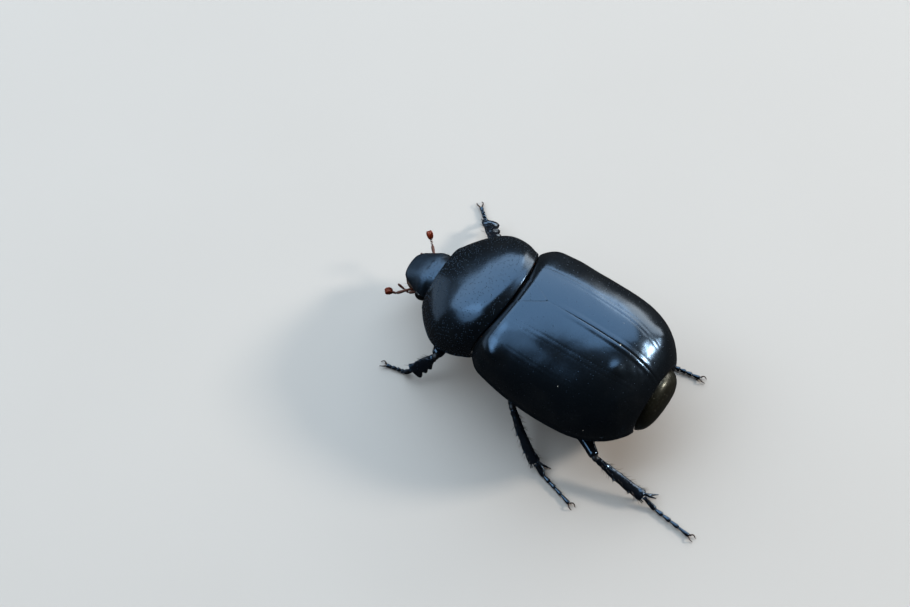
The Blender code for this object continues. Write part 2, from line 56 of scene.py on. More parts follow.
MM = 0.001
CASE_LENGTH = 11.6
CASE_CUT = 0.945
CASE_SEAM_Y = 0.2
CASE_WIDEST, CASE_TAPER, CASE_ROUNDING = 0.48, 0.125, 2.85
CASE_CROWN, CASE_HIGHEST, CROWN_TAPER, CROWN_ROUNDING = 4.95, 0.42, 0.16, 2.9
CASE_MARGIN_Z, CASE_MARGIN_SAG, CASE_MARGIN_LIFT, LIFT_LENGTH = 4.4, 0.3, 0.5, 0.35
SHOULDER, SHOULDER_NARROWING = 0.09, 0.13
BASE_ROUNDING, BASE_LOWERING = 0.055, 0.1
TURN_UNDER = radians(112)
UNDER_DEPTH = 1.5
SQUARENESS = 2 / 2.2
SHELL = 0.28                    # thickness of a shell plate
SEAM = 0.001                    # half the gap at the seam
SCUTELLUM_HALF_WIDTH, SCUTELLUM_LENGTH = 1.15, 2.05
STRIA_PAIRS = ((25, 20, 0.9), (48, 42, 0.6), (69, 63, 0.45))   # degrees at base and rear, strength
STRIA_SPREAD = 2.1              # half the distance in degrees between the two lines of a pair
STRIA_WIDTH, STRIA_DEPTH = 0.085, 0.009
STRIA_BOW, STRIA_RADIUS = 0.8, 5.3      # degrees that a line bows, and the radius of the back
SUTURAL_LINE = 0.42             # the single line beside the seam, from the middle
PIT_STEP = 0.21                 # distance between the pits of a line
SEAM_RIDGE = 0.035
# low knobs: height, degrees round the back and their spread in radians, share of the length and spread
CASE_SHOULDER = {1: (0.3, 57.5, 0.15, 0.105, 0.064), -1: (0.14, 57.5, 0.15, 0.105, 0.064)}
CASE_KNOBS = ((0.13, 67, 0.2, 0.21, 0.09), (0.14, 38, 0.22, 0.83, 0.055))
REAR_DENT_RIM = 0.13            # a low swelling near the seam of the left case
CASE_BEAD = ((0.05, 91, 0.1), (-0.04, 87, 0.12))    # bead and groove at the side: height, degrees, width
RIM, RIM_SHARE = 0.1, 0.8       # radius of a plate's rounded rim, and how much of it is taken off

left_case, right_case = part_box("elytron_left"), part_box("elytron_right")
case_half_width_most = (left_case[1].x - right_case[0].x) / 2 / MM
case_rear_y = CASE_SEAM_Y + (CASE_LENGTH - CASE_SEAM_Y) * CASE_CUT
waist = Vector(((left_case[1].x + right_case[0].x) / 2, left_case[1].y - case_rear_y * MM, 0))
chance = random.Random(7)


def feed(tree, made, inputs):
    """Link or set the inputs of a shader node."""
    for key, value in inputs.items():
        if isinstance(value, bpy.types.NodeSocket):
            tree.links.new(value, made.inputs[key])
        else:
            made.inputs[key].default_value = value


def node(tree, kind, inputs=None, **settings):
    """Add a shader node, give it its settings, and link or set its inputs."""
    made = tree.nodes.new("ShaderNode" + kind)
    for key, value in settings.items():
        setattr(made, key, value)
    feed(tree, made, inputs or {})
    return made


def math_node(tree, operation, first, second=0.0, **settings):
    return node(tree, "Math", {0: first, 1: second}, operation=operation, **settings).outputs[0]


def times(tree, first, second):
    return math_node(tree, "MULTIPLY", first, second)


def faded(tree, value, near, far):
    """1 up to near, 0 past far, and soft between."""
    inputs = {"Value": value, "From Min": near, "From Max": far, "To Min": 1.0, "To Max": 0.0}
    return node(tree, "MapRange", inputs, interpolation_type="SMOOTHSTEP").outputs[0]


def mixed(tree, factor, first, second):
    """A colour between two others."""
    return node(tree, "Mix", {"Factor": factor, "A": first, "B": second}, data_type="RGBA").outputs["Result"]


def cloudy(tree, place, scale, detail, roughness=0.5):
    inputs = {"Vector": place, "Scale": scale, "Detail": detail, "Roughness": roughness}
    return node(tree, "TexNoise", inputs).outputs[0]


def bumped(tree, height, distance, normal=None):
    """Relief of this many millimetres, over the normal of a coarser relief."""
    inputs = {"Height": height, "Distance": distance * MM, "Strength": 1.0}
    if normal is not None:
        inputs["Normal"] = normal
    return node(tree, "Bump", inputs).outputs[0]


def shade(colour, share):
    return (*[part * share for part in colour], 1)


def new_look(name):
    """A material, its node tree and shader, and the place on the object that its patterns follow."""
    look = bpy.data.materials.new(name)
    look.use_nodes = True
    tree = look.node_tree
    return look, tree, tree.nodes["Principled BSDF"], node(tree, "TexCoord").outputs["Object"]


def new_group(name, inputs, outputs):
    """An empty node group with its sockets, and its two end nodes."""
    group = bpy.data.node_groups.new(name, "ShaderNodeTree")
    for names, way in ((inputs, "INPUT"), (outputs, "OUTPUT")):
        for socket, kind in names:
            group.interface.new_socket(socket, in_out=way, socket_type="NodeSocket" + kind)
    return group, group.nodes.new("NodeGroupInput").outputs, group.nodes.new("NodeGroupOutput").inputs


# Scattered round pits: one in each cell of a cell pattern, some cells left out.
punctures, given, gives = new_group(
    "punctures", (("Place", "Vector"), ("Gap", "Float"), ("Radius", "Float"), ("Share", "Float")),
    (("Pits", "Float"),))
in_cells = node(punctures, "VectorMath", {0: given["Place"]}, operation="DIVIDE")
gap_each = node(punctures, "CombineXYZ", {"X": given["Gap"], "Y": given["Gap"], "Z": given["Gap"]})
punctures.links.new(gap_each.outputs[0], in_cells.inputs[1])
cells = node(punctures, "TexVoronoi", {"Vector": in_cells.outputs[0], "Scale": 1.0, "Randomness": 0.85})
apart = times(punctures, cells.outputs["Distance"], given["Gap"])
reach = math_node(punctures, "DIVIDE", apart, given["Radius"])
bowl = faded(punctures, reach, 0.35, 1.0)
parts = node(punctures, "SeparateColor", {"Color": cells.outputs["Color"]})
kept = math_node(punctures, "LESS_THAN", parts.outputs[0], given["Share"])
punctures.links.new(times(punctures, bowl, kept), gives["Pits"])

# Dust of dry ground: fine specks, and a thin film in soft patches.
DUST = (0.42, 0.37, 0.29, 1)
SPECK_MOST = 0.13               # radius of the largest speck as a share of a cell of the pattern
dusting, given, gives = new_group("dust", (("Place", "Vector"), ("Amount", "Float")),
                                  (("Specks", "Float"), ("Film", "Float")))
specks = node(dusting, "TexVoronoi", {"Vector": given["Place"], "Scale": 2600.0, "Randomness": 1.0})
speck_part = node(dusting, "SeparateColor", {"Color": specks.outputs["Color"]})
speck_size = times(dusting, speck_part.outputs[1], SPECK_MOST)
is_speck = math_node(dusting, "LESS_THAN", specks.outputs["Distance"], speck_size)
few = math_node(dusting, "LESS_THAN", speck_part.outputs[0], given["Amount"])
dusting.links.new(times(dusting, is_speck, few), gives["Specks"])
clouds = cloudy(dusting, given["Place"], 420.0, 5.0, 0.62)
film = node(dusting, "MapRange", {"Value": clouds, "From Min": 0.48, "From Max": 0.75})
dusting.links.new(times(dusting, film.outputs[0], given["Amount"]), gives["Film"])

CHITIN_TONES = 0.7, 1.35        # the colour varies softly between these shares of its mean
FILM_COVER = 0.22               # how much of the colour a film of dust hides
PIT_ROUGHNESS, FILM_ROUGHNESS, SPECK_ROUGHNESS, GRAIN_ROUGHNESS = 0.3, 0.5, 0.6, 0.1
GRAIN_HEIGHT = 0.0016
LINE_PIT_IN, LINE_PIT_OUT, LINE_PIT_DEPTH = 0.02, 0.075, 0.2
COARSE_RADIUS, COARSE_SHARE = 1.9, 0.95


def chitin(name, colour, gloss, pit_gap, pit_radius, pit_share, pit_depth=0.012, wave=0.007, dust=0.03,
           coarse=False, lines=False, sheen_colour=(0.4, 0.66, 1.0)):
    """Polished or satin chitin. Sizes in millimetres: its pits, and the soft waves of its surface."""
    look, tree, shader, place = new_look(name)
    radius, share = pit_radius * MM, pit_share
    if coarse:      # where the piece says so, its pits are wider and closer
        mark = node(tree, "Attribute", attribute_name="coarse").outputs["Fac"]
        radius = node(tree, "MapRange", {"Value": mark, "To Min": pit_radius * MM,
                                         "To Max": pit_radius * COARSE_RADIUS * MM}).outputs[0]
        share = node(tree, "MapRange", {"Value": mark, "To Min": pit_share,
                                        "To Max": COARSE_SHARE}).outputs[0]
    pits = node(tree, "Group", {"Place": place, "Gap": pit_gap * MM, "Radius": radius, "Share": share},
                node_tree=punctures).outputs["Pits"]
    if lines:       # rows of pits along the fine lines
        off, run, cut = (node(tree, "Attribute", attribute_name=mark).outputs["Fac"]
                         for mark in ("off_line", "along_line", "line_strength"))
        step = math_node(tree, "ABSOLUTE", math_node(tree, "SUBTRACT", math_node(tree, "FRACT", run), 0.5))
        ahead = math_node(tree, "POWER", times(tree, step, PIT_STEP), 2.0)
        away = math_node(tree, "SQRT", math_node(tree, "ADD", math_node(tree, "POWER", off, 2.0), ahead))
        row = faded(tree, away, LINE_PIT_IN, LINE_PIT_OUT)
        row = times(tree, times(tree, row, cut), LINE_PIT_DEPTH)
        pits = math_node(tree, "MAXIMUM", pits, row)
    settled = node(tree, "Group", {"Place": place, "Amount": dust}, node_tree=dusting).outputs
    tone = cloudy(tree, place, 260.0, 4.0)
    tint = mixed(tree, tone, *[shade(colour, share) for share in CHITIN_TONES])
    tint = mixed(tree, times(tree, settled["Film"], FILM_COVER), tint, DUST)
    tint = mixed(tree, settled["Specks"], tint, DUST)
    grain = cloudy(tree, place, 5200.0, 3.0)
    rough = gloss - GRAIN_ROUGHNESS / 2
    for mask, roughness in ((grain, GRAIN_ROUGHNESS), (pits, PIT_ROUGHNESS),
                            (settled["Film"], FILM_ROUGHNESS), (settled["Specks"], SPECK_ROUGHNESS)):
        rough = math_node(tree, "ADD", rough, times(tree, mask, roughness), use_clamp=True)
    waves = bumped(tree, cloudy(tree, place, 900.0, 2.0), wave)
    fine = bumped(tree, grain, GRAIN_HEIGHT, waves)
    relief = bumped(tree, math_node(tree, "SUBTRACT", 1.0, pits), pit_depth, fine)
    feed(tree, shader, {"Base Color": tint, "Roughness": rough, "Normal": relief, "IOR": 1.56,
                        "Specular Tint": (*sheen_colour, 1)})
    return look


def placed(name, contents):
    """A new object in the scene."""
    made = bpy.data.objects.new(name, contents)
    bpy.context.scene.collection.objects.link(made)
    return made


def mesh_of(name, bm, look):
    mesh = bpy.data.meshes.new(name)
    bm.to_mesh(mesh)
    bm.free()
    mesh.materials.append(look)
    return mesh


def piece(name, bm, look, slot, *nodes):
    """Finish a piece drawn in millimetres about the waist: it rides on the body and stands for its nodes."""
    bmesh.ops.recalc_face_normals(bm, faces=bm.faces[:])
    if bm.calc_volume(signed=True) < 0:
        bmesh.ops.reverse_faces(bm, faces=bm.faces[:])
    bmesh.ops.transform(bm, matrix=Matrix.Translation(waist) @ Matrix.Scale(MM, 4), verts=bm.verts[:])
    mesh = mesh_of(name, bm, look)
    mesh.shade_smooth()
    mesh.set_sharp_from_angle(angle=radians(40))
    made = placed(name, mesh)
    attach(made, "root")
    if nodes:
        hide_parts(*nodes)


def curved_plate(place, along, across, marks=None):
    """A closed plate. place(u, v, depth) gives its points, and marks(u, v) the values kept on them."""
    bm = bmesh.new()
    bmesh.ops.create_grid(bm, x_segments=along, y_segments=across, size=0.5)
    copy = bmesh.ops.extrude_face_region(bm, geom=bm.faces[:])
    for corner in copy["geom"]:
        if isinstance(corner, bmesh.types.BMVert):
            corner.co.z = SHELL
    for mark in (marks(0.5, 0.5) if marks else ()):
        bm.verts.layers.float.new(mark)
    for corner in bm.verts:
        u, v, depth = corner.co.x + 0.5, corner.co.y + 0.5, corner.co.z
        for mark, value in (marks(u, v) if marks else {}).items():
            corner[bm.verts.layers.float[mark]] = value
        corner.co = place(u, v, depth)
    return bm


def eased(u, ends):
    """Spread rows so that they lie closer together at both ends."""
    return u - ends * sin(2 * pi * u) / (2 * pi)


def rolled(distance, radius):
    """How far a surface drops where it rounds off towards an edge at this distance."""
    if distance >= radius:
        return 0
    return radius * (1 - sqrt(max(0, 1 - (1 - max(0, distance) / radius) ** 2)))


def hump(distance, width):
    return exp(-(distance / width) ** 2)


def ramp(value, start, length):
    """0 up to start, 1 once past it by this length, and a straight line between."""
    return min(1, max(0, (value - start) / length))


def signed_power(value, power):
    return abs(value) ** power * (1 if value > 0 else -1)


def arch(c, crown):
    """Height of a plate over its side margin, from its crown to where it is rolled under."""
    return crown * c ** SQUARENESS if c > 0 else UNDER_DEPTH * c


def shoulder(t):
    """1 at the very base of the wing cases, 0 where their rounded base ends."""
    return max(0, 1 - t / SHOULDER) ** 2


def dome(t, widest, taper, power):
    """Width or height along the wing cases as a share of its greatest value."""
    if t < widest:
        return 1 - taper * ((widest - t) / widest) ** 2
    return sqrt(max(0, 1 - ((t - widest) / (1 - widest)) ** power))


def case_half_width(t):
    outline = case_half_width_most * dome(t, CASE_WIDEST, CASE_TAPER, CASE_ROUNDING)
    return outline * (1 - SHOULDER_NARROWING * shoulder(t))


def case_lift(t):
    """How much the side margin rises towards the shoulder, while the back stays level."""
    return CASE_MARGIN_LIFT * max(0, 1 - t / LIFT_LENGTH) ** 2


def case_crown(t):
    back = CASE_CROWN * dome(t, CASE_HIGHEST, CROWN_TAPER, CROWN_ROUNDING)
    return back * (1 - BASE_LOWERING * max(0, 1 - t / BASE_ROUNDING) ** 2) - case_lift(t)


def case_margin_z(t):
    return CASE_MARGIN_Z - CASE_MARGIN_SAG * sin(pi * t) + case_lift(t)


def case_base_y(s):
    """The base edge of the wing cases, s from 0 at the seam to 1 at the side."""
    return CASE_SEAM_Y - 0.2 - 0.82 * s * s


def scutellum_edge(y):
    """Half width of the small triangular plate at this y."""
    if y >= SCUTELLUM_LENGTH:
        return 0
    return SCUTELLUM_HALF_WIDTH * (1 - max(0, y) / SCUTELLUM_LENGTH) ** 0.9


def case_place(u, v):
    """Share of the length, turn round the back, and half the distance between the two cases here."""
    t = eased(u, 0.72) * CASE_CUT
    seam = SEAM + scutellum_edge(case_base_y(0) + CASE_LENGTH * t)
    first = asin((seam / case_half_width(t)) ** (1 / SQUARENESS))
    return t, first + (TURN_UNDER - first) * eased(v, 0.5), seam


def nearest_line(t, turn):
    """Distance in millimetres from the nearest fine line, signed, and how strongly it is cut here."""
    best = (9.0, 0.0)
    fade = ramp(t, 0.03, 0.06) * ramp(0.9 - t, 0, 0.12)
    for base, rear, strength in STRIA_PAIRS:
        middle = base + (rear - base) * (t / CASE_CUT) ** 0.8
        bent = middle + STRIA_BOW * sin(pi * t)
        for side in (1, -1):
            off = radians(degrees(turn) - bent - side * STRIA_SPREAD) * STRIA_RADIUS
            if abs(off) < abs(best[0]):
                best = (off, strength * fade)
    sutural = turn ** SQUARENESS * case_half_width(t) - SUTURAL_LINE
    if abs(sutural) < abs(best[0]):
        best = (sutural, 0.5 * fade * ramp(t, 0.2, 0.1))
    return best


def case_relief(t, turn, seam, side):
    """Height of the surface over the plain arch: fine lines, raised seam, knobs and rounded rims."""
    off, cut = nearest_line(t, turn)
    rise = -STRIA_DEPTH * cut * hump(off, STRIA_WIDTH)
    x = case_half_width(t) * sin(turn) ** SQUARENESS
    rise += SEAM_RIDGE * hump(x - 0.16, 0.17) * ramp(t, 0.24, 0.15)
    for height, around, spread, share, length in (CASE_SHOULDER[side], *CASE_KNOBS):
        rise += height * hump(turn - radians(around), spread) * hump(t - share, length)
    if side > 0:
        rise += REAR_DENT_RIM * hump(x - 1.55, 0.5) * hump(t - 0.72, 0.038)
    for height, around, width in CASE_BEAD:
        rise += height * hump((turn - radians(around)) * 5, width)
    rise += 0.022 * noise.noise(Vector((x * 0.55, t * 6, turn * 2.5)))
    rise += 0.012 * noise.noise(Vector((turn * 5 * side, t * 11, 4.4)))
    rise += 0.012 * ramp(t, 0.68, 0.14) * noise.noise(Vector((x * side * 2.4, t * 30, 9.1)))
    edge = (TURN_UNDER - turn) * 1.5
    for distance in (t * CASE_LENGTH, (CASE_CUT - t) * CASE_LENGTH * 0.6, edge):
        rise -= rolled(distance, RIM) * RIM_SHARE
    return rise - rolled(x - seam, 0.025) * 0.6


def wing_case(name, side, cad_node, look):
    def place(u, v, depth):
        t, turn, seam = case_place(u, v)
        under = depth if depth else -case_relief(t, turn, seam, side)
        half, crown = case_half_width(t) - under, case_crown(t) - under
        s, c = sin(turn), cos(turn)
        y = case_base_y(s)
        y += (CASE_LENGTH - y) * t
        x = max(half * s ** SQUARENESS, seam * 0.98)
        return Vector((side * x, y, case_margin_z(t) + arch(c, crown)))

    def marks(u, v):
        t, turn, _ = case_place(u, v)
        off, cut = nearest_line(t, turn)
        return {"off_line": off, "along_line": t * CASE_LENGTH / PIT_STEP + 0.37 * side, "line_strength": cut}

    piece(name, curved_plate(place, 170, 150, marks), look, "black_shell", cad_node)


SHELL_COLOUR = (0.0025, 0.003, 0.0035)
case_black = chitin("wing_case_black", SHELL_COLOUR, 0.22, 0.26, 0.045, 0.5, pit_depth=0.004, lines=True)
wing_case("wing_case_left", 1, "elytron_left", case_black)
wing_case("wing_case_right", -1, "elytron_right", case_black)

# ---------------------------------------- scutellum
# The small triangular plate between the bases of the wing cases: the same black chitin, fixed to the
# middle ring of the chest and flush with the cases round it.


def scutellum_place(u, v, depth):
    y = 0.02 + (SCUTELLUM_LENGTH - 0.1) * eased(u, 0.5)
    t = max(0, (y - case_base_y(0)) / CASE_LENGTH)
    across = 2 * eased(v, 0.6) - 1
    edge = scutellum_edge(y)
    x = (edge + 0.004) * across
    s = (abs(x) / case_half_width(t)) ** (1 / SQUARENESS)
    z = case_margin_z(t) + case_crown(t) * sqrt(1 - s * s) ** SQUARENESS
    if not depth:
        z -= rolled(edge - abs(x), 0.04) * 0.5 + rolled(y, RIM) * RIM_SHARE
        z -= 0.02 * hump(y - 0.3, 0.3) * (1 - across * across)
    return Vector((x, y, z - depth))


plate_black = chitin("scutellum_black", SHELL_COLOUR, 0.2, 0.22, 0.05, 0.75, pit_depth=0.01)
piece("scutellum_plate", curved_plate(scutellum_place, 36, 40), plate_black, "black_shell", "scutellum")

# ---------------------------------------- pronotum
# The arched shield over the front ring of the chest, which hoods the back of the head. One plate of
# black chitin with a raised bead round its sides and front, pitted most closely at the front corners.

SHIELD_LENGTH = 5.85
SHIELD_HALF_WIDTHS = (2.25, 4.75, 0.62)     # at the front, the greatest, and where that is
SHIELD_CROWNS = (2.3, 4.1, 0.78)
SHIELD_MARGIN_Z, SHIELD_DIP = 4.45, 1.2
SHIELD_TURN = radians(120)
SHIELD_REAR_TAPER = 0.09
SHIELD_BEAD, BEAD_HEIGHT = radians(96), 0.05


def swell(u, front, most, peak):
    """A measure along the shield: from its front up to its greatest, then a little less."""
    if u < peak:
        return front + (most - front) * sin(pi / 2 * u / peak) ** 0.9
    return most * (1 - SHIELD_REAR_TAPER * ((u - peak) / (1 - peak)) ** 2)


def shield_half_width(u):
    return swell(u, *SHIELD_HALF_WIDTHS)


def shield_crown(u):
    return swell(u, *SHIELD_CROWNS)


def shield_y(u, s):
    """Front edge hollowed round the head, rear edge bowed towards the wing cases."""
    front = -SHIELD_LENGTH + 0.12 * (1 - s * s)
    rear = -0.15 - 0.75 * s * s
    return front + (rear - front) * u


def shield_margin_z(u):
    return SHIELD_MARGIN_Z - SHIELD_DIP * (1 - u)


def shield_relief(u, turn):
    side = abs(turn)
    length = SHIELD_LENGTH * u
    rear = (SHIELD_LENGTH - 0.6) * (1 - u)
    radius = shield_half_width(u)
    rise = BEAD_HEIGHT * hump((side - SHIELD_BEAD) * radius, 0.09)
    rise -= BEAD_HEIGHT * hump((side - SHIELD_BEAD + radians(4)) * radius, 0.13)
    rise += 0.015 * hump(length - 0.12, 0.09) - 0.015 * hump(length - 0.32, 0.12)
    rise -= 0.03 * hump(rear - 0.35, 0.3)
    rise += 0.03 * noise.noise(Vector((turn * 1.6, length * 0.45, 3.1)))
    rise += 0.01 * noise.noise(Vector((turn * 5, length * 1.4, 8.7)))
    for distance in (length, rear, (SHIELD_TURN - side) * 2):
        rise -= rolled(distance, RIM) * RIM_SHARE
    return rise


def shield_point(u, turn, under):
    """A point this far under the plain arch of the shield."""
    s, c = sin(turn), cos(turn)
    x = (shield_half_width(u) - under) * signed_power(s, SQUARENESS)
    return Vector((x, shield_y(u, abs(s)), shield_margin_z(u) + arch(c, shield_crown(u) - under)))


def shield_place(u, v, depth):
    u = eased(u, 0.6)
    turn = SHIELD_TURN * (2 * v - 1)
    return shield_point(u, turn, depth if depth else -shield_relief(u, turn))


def shield_marks(u, v):
    u = eased(u, 0.6)
    side = abs(SHIELD_TURN * (2 * v - 1))
    front = max(0, 1 - u / 0.55)
    return {"coarse": min(1, 0.75 * front * front + max(0, side - radians(38)) / radians(60))}


shield_black = chitin("pronotum_black", SHELL_COLOUR, 0.21, 0.15, 0.034, 0.85, coarse=True, pit_depth=0.024)
piece("pronotum_shield", curved_plate(shield_place, 130, 190, shield_marks), shield_black, "black_shell",
      "pronotum")

# ---------------------------------------- head
# A flattened capsule of black chitin, narrow at the neck, widest at the cheeks that cut into the eyes,
# with two small knobs on the forehead and a blunt, slightly upturned front edge.

HEAD_ROOT = Vector((0, -5.15, 3.95))
HEAD_FRONT = Vector((0, -8.15, 2.75))
# share of the length, half width, height above and below the axis
HEAD_ROWS = ((0, 1.2, 0.75, 0.75), (0.12, 1.4, 0.9, 0.95), (0.27, 1.55, 0.95, 1.05), (0.36, 1.84, 0.93, 1.1),
             (0.46, 1.93, 0.9, 1.05), (0.58, 1.68, 0.83, 0.85), (0.73, 1.4, 0.69, 0.55),
             (0.88, 1.14, 0.52, 0.34), (0.97, 0.85, 0.36, 0.24), (1, 0.6, 0.18, 0.14))
EYE_PLACE = Vector((1.56, -6.35, 2.95))
EYE_RADII = Vector((0.42, 0.441, 0.399))
CHEEK_CUT, EYE_HOLLOW = 0.58, 0.1
KNOB_X, KNOB_SHARE = 0.3, 0.38
head_down = (HEAD_FRONT - HEAD_ROOT).normalized()
head_up = head_down.cross(Vector((1, 0, 0)))


def profile(rows, at):
    """Values at a place along a piece, on smooth lines through rows of (place, value, value ...)."""
    k = max([0] + [i for i in range(len(rows) - 1) if rows[i][0] <= at])
    start, end = rows[k][0], rows[k + 1][0]
    f = min(max((at - start) / (end - start), 0), 1)
    values = []
    for i in range(1, len(rows[0])):
        lean = []
        for j in (k, k + 1):
            a, b = rows[max(j - 1, 0)], rows[min(j + 1, len(rows) - 1)]
            lean.append((b[i] - a[i]) * ((end - start) / (b[0] - a[0])))
        values.append(rows[k][i] * ((1 + 2 * f) * (1 - f) ** 2) + lean[0] * (f * (1 - f) ** 2)
                      + rows[k + 1][i] * (f * f * (3 - 2 * f)) + lean[1] * (f * f * (f - 1)))
    return values


def round_body(surface, rings, sides):
    """A closed body. surface(share, angle) gives its points; share runs from 0 to 1 between its poles."""
    bm = bmesh.new()
    bmesh.ops.create_uvsphere(bm, u_segments=sides, v_segments=rings, radius=1)
    for corner in bm.verts:
        share = (1 - max(-1, min(1, corner.co.z))) / 2
        corner.co = surface(share, atan2(corner.co.y, corner.co.x))
    return bm


def ball(share, angle):
    """A point of a round body of radius 1 whose poles point sideways."""
    turn = acos(1 - 2 * share)
    return Vector((cos(turn), sin(turn) * cos(angle), sin(turn) * sin(angle)))


def mirrored(point, side):
    return Vector((point[0] * side, point[1], point[2]))


def blunt(share, cap):
    """Size of a section near an end that is rounded over this share of the length."""
    near = min(share, 1 - share, cap) / cap
    return sqrt(max(0, 1 - (1 - near) ** 2))


def head_surface(share, angle):
    half, above, below = profile(HEAD_ROWS, share)
    end = blunt(share, 0.045)
    s, c = sin(angle), cos(angle)
    rise = (above if c > 0 else below) * c * end
    x = half * signed_power(s, 0.85) * end
    if c > 0:
        knobs = hump(x - KNOB_X, 0.1) + hump(x + KNOB_X, 0.1)
        rise += c * hump(share - KNOB_SHARE, 0.04) * (0.035 * knobs + 0.008 * hump(x, 1.3))
        rise += 0.012 * c * hump(share - 0.965, 0.02)
        rise += 0.02 * noise.noise(Vector((x, share * 4, 1.7)))
    rise -= CHEEK_CUT * abs(s) ** 3 * hump(share - 0.42, 0.24)
    point = HEAD_ROOT.lerp(HEAD_FRONT, share) + Vector((x, 0, 0)) + head_up * rise
    for side in (1, -1):
        point.x -= side * EYE_HOLLOW * hump((point - mirrored(EYE_PLACE, side)).length, 0.4)
    return point


head_black = chitin("head_black", (0.003, 0.004, 0.005), 0.36, 0.13, 0.04, 0.9, pit_depth=0.016)
piece("head_capsule", round_body(head_surface, 110, 120), head_black, "black_shell", "head")

# ---------------------------------------- eyes
# Two compound eyes, half sunk behind the cheeks: black and glassy, with facets too fine to count.
# Each is a round bulb set in the side of the head.

eye_facets, tree, shader, place = new_look("eye_facets")
cells = node(tree, "TexVoronoi", {"Vector": place, "Scale": 26000.0, "Randomness": 0.25})
away = cells.outputs["Distance"]
feed(tree, shader, {
    "Base Color": mixed(tree, away, (0.0005, 0.0005, 0.0005, 1), (0.002, 0.002, 0.002, 1)),
    "Roughness": math_node(tree, "ADD", 0.08, times(tree, away, 0.15)),
    "Normal": bumped(tree, math_node(tree, "SUBTRACT", 1.0, away), 0.004), "IOR": 1.6})

SIDES = (("left", 1), ("right", -1))
for word, side in SIDES:
    def eye_surface(share, angle):
        return mirrored(EYE_PLACE + ball(share, angle) * EYE_RADII, side)

    piece("eye_ball_" + word, round_body(eye_surface, 28, 40), eye_facets, "eye", "eye_" + word)

# ---------------------------------------- mouth and antennae
# Under the blunt front edge sit short curved jaws, jointed palps and a chin plate. The antennae are
# rust-red: a long first joint, a bend, four bead joints and a club of three leaves folded together.

UP = Vector((0, 0, 1))


def run_of(rows, share, flat_side):
    """Which way a limb runs here, and the direction of its width."""
    ahead = profile(rows, min(share + 0.02, 1))[0] - profile(rows, max(share - 0.02, 0))[0]
    return ahead, ahead.cross(flat_side).normalized()


def limb(rows, rings, sides, flat_side=UP, cap=0.9, shape=None):
    """A closed limb with round ends through rows of (share of its length, centre, half width, half depth).

    flat_side is the direction across which the half depths are measured. shape(share, angle) may give
    a height over the plain limb.
    """
    length = sum((b[1] - a[1]).length for a, b in zip(rows, rows[1:]))

    def surface(share, angle):
        centre, half, deep = profile(rows, share)
        ahead, wide = run_of(rows, share, flat_side)
        out = wide.cross(ahead).normalized()
        size = blunt(share, min(0.5, cap * min(half, deep) / length))
        point = centre + (wide * half * cos(angle) + out * deep * sin(angle)) * size
        if shape:
            point += (wide * cos(angle) + out * sin(angle)) * shape(share, angle) * size
        return point

    return round_body(surface, rings, sides)


def straight(start, end, *sizes):
    """Rows of a straight limb, from its sizes: share of its length, half width, half depth."""
    return [(share, start.lerp(end, share), half, deep) for share, half, deep in sizes]


def joined(shapes):
    """Several closed shapes in one bmesh."""
    whole = bmesh.new()
    for shape in shapes:
        work = bpy.data.meshes.new("work")
        shape.to_mesh(work)
        shape.free()
        whole.from_mesh(work)
        bpy.data.meshes.remove(work)
    return whole


RUST_TONES = 0.55, 1.5
PORE_GAP, PORE_RADIUS, PORE_DEPTH = 0.06, 0.018, 0.004


def rusty(name, colour, gloss, sheen_colour=(1.0, 0.62, 0.5)):
    """Thin brown to rust-red chitin, a little clear, with fine pores and soft clouds of colour."""
    look, tree, shader, place = new_look(name)
    clouds = cloudy(tree, place, 2200.0, 4.0)
    pores = node(tree, "Group", {"Place": place, "Gap": PORE_GAP * MM, "Radius": PORE_RADIUS * MM,
                                 "Share": 0.8}, node_tree=punctures).outputs["Pits"]
    feed(tree, shader, {
        "Base Color": mixed(tree, clouds, *[shade(colour, share) for share in RUST_TONES]),
        "Roughness": math_node(tree, "ADD", gloss, times(tree, clouds, 0.2)),
        "Normal": bumped(tree, math_node(tree, "SUBTRACT", 1.0, pores), PORE_DEPTH),
        "IOR": 1.48, "Specular Tint": (*sheen_colour, 1), "Subsurface Weight": 0.1,
        "Subsurface Radius": (1.0, 0.3, 0.15), "Subsurface Scale": 0.15 * MM})
    return look


def corners_of(cad_node):
    """The corners of a solid, in millimetres about the waist."""
    return [(corner.co - waist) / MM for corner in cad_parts[cad_node].data.vertices]


def meeting(first, second):
    """The middle of the narrow gap where two solids meet."""
    others = corners_of(second)
    tree = kdtree.KDTree(len(others))
    for i, corner in enumerate(others):
        tree.insert(corner, i)
    tree.balance()
    found = min(((tree.find(corner), corner) for corner in corners_of(first)), key=lambda hit: hit[0][2])
    return (found[0][0] + found[1]) / 2


def middle_of(cad_node):
    low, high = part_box(cad_node)
    return ((low + high) / 2 - waist) / MM


def farthest(cad_node, start):
    return max(corners_of(cad_node), key=lambda corner: (corner - start).length)


LEAF_GAP = 0.115
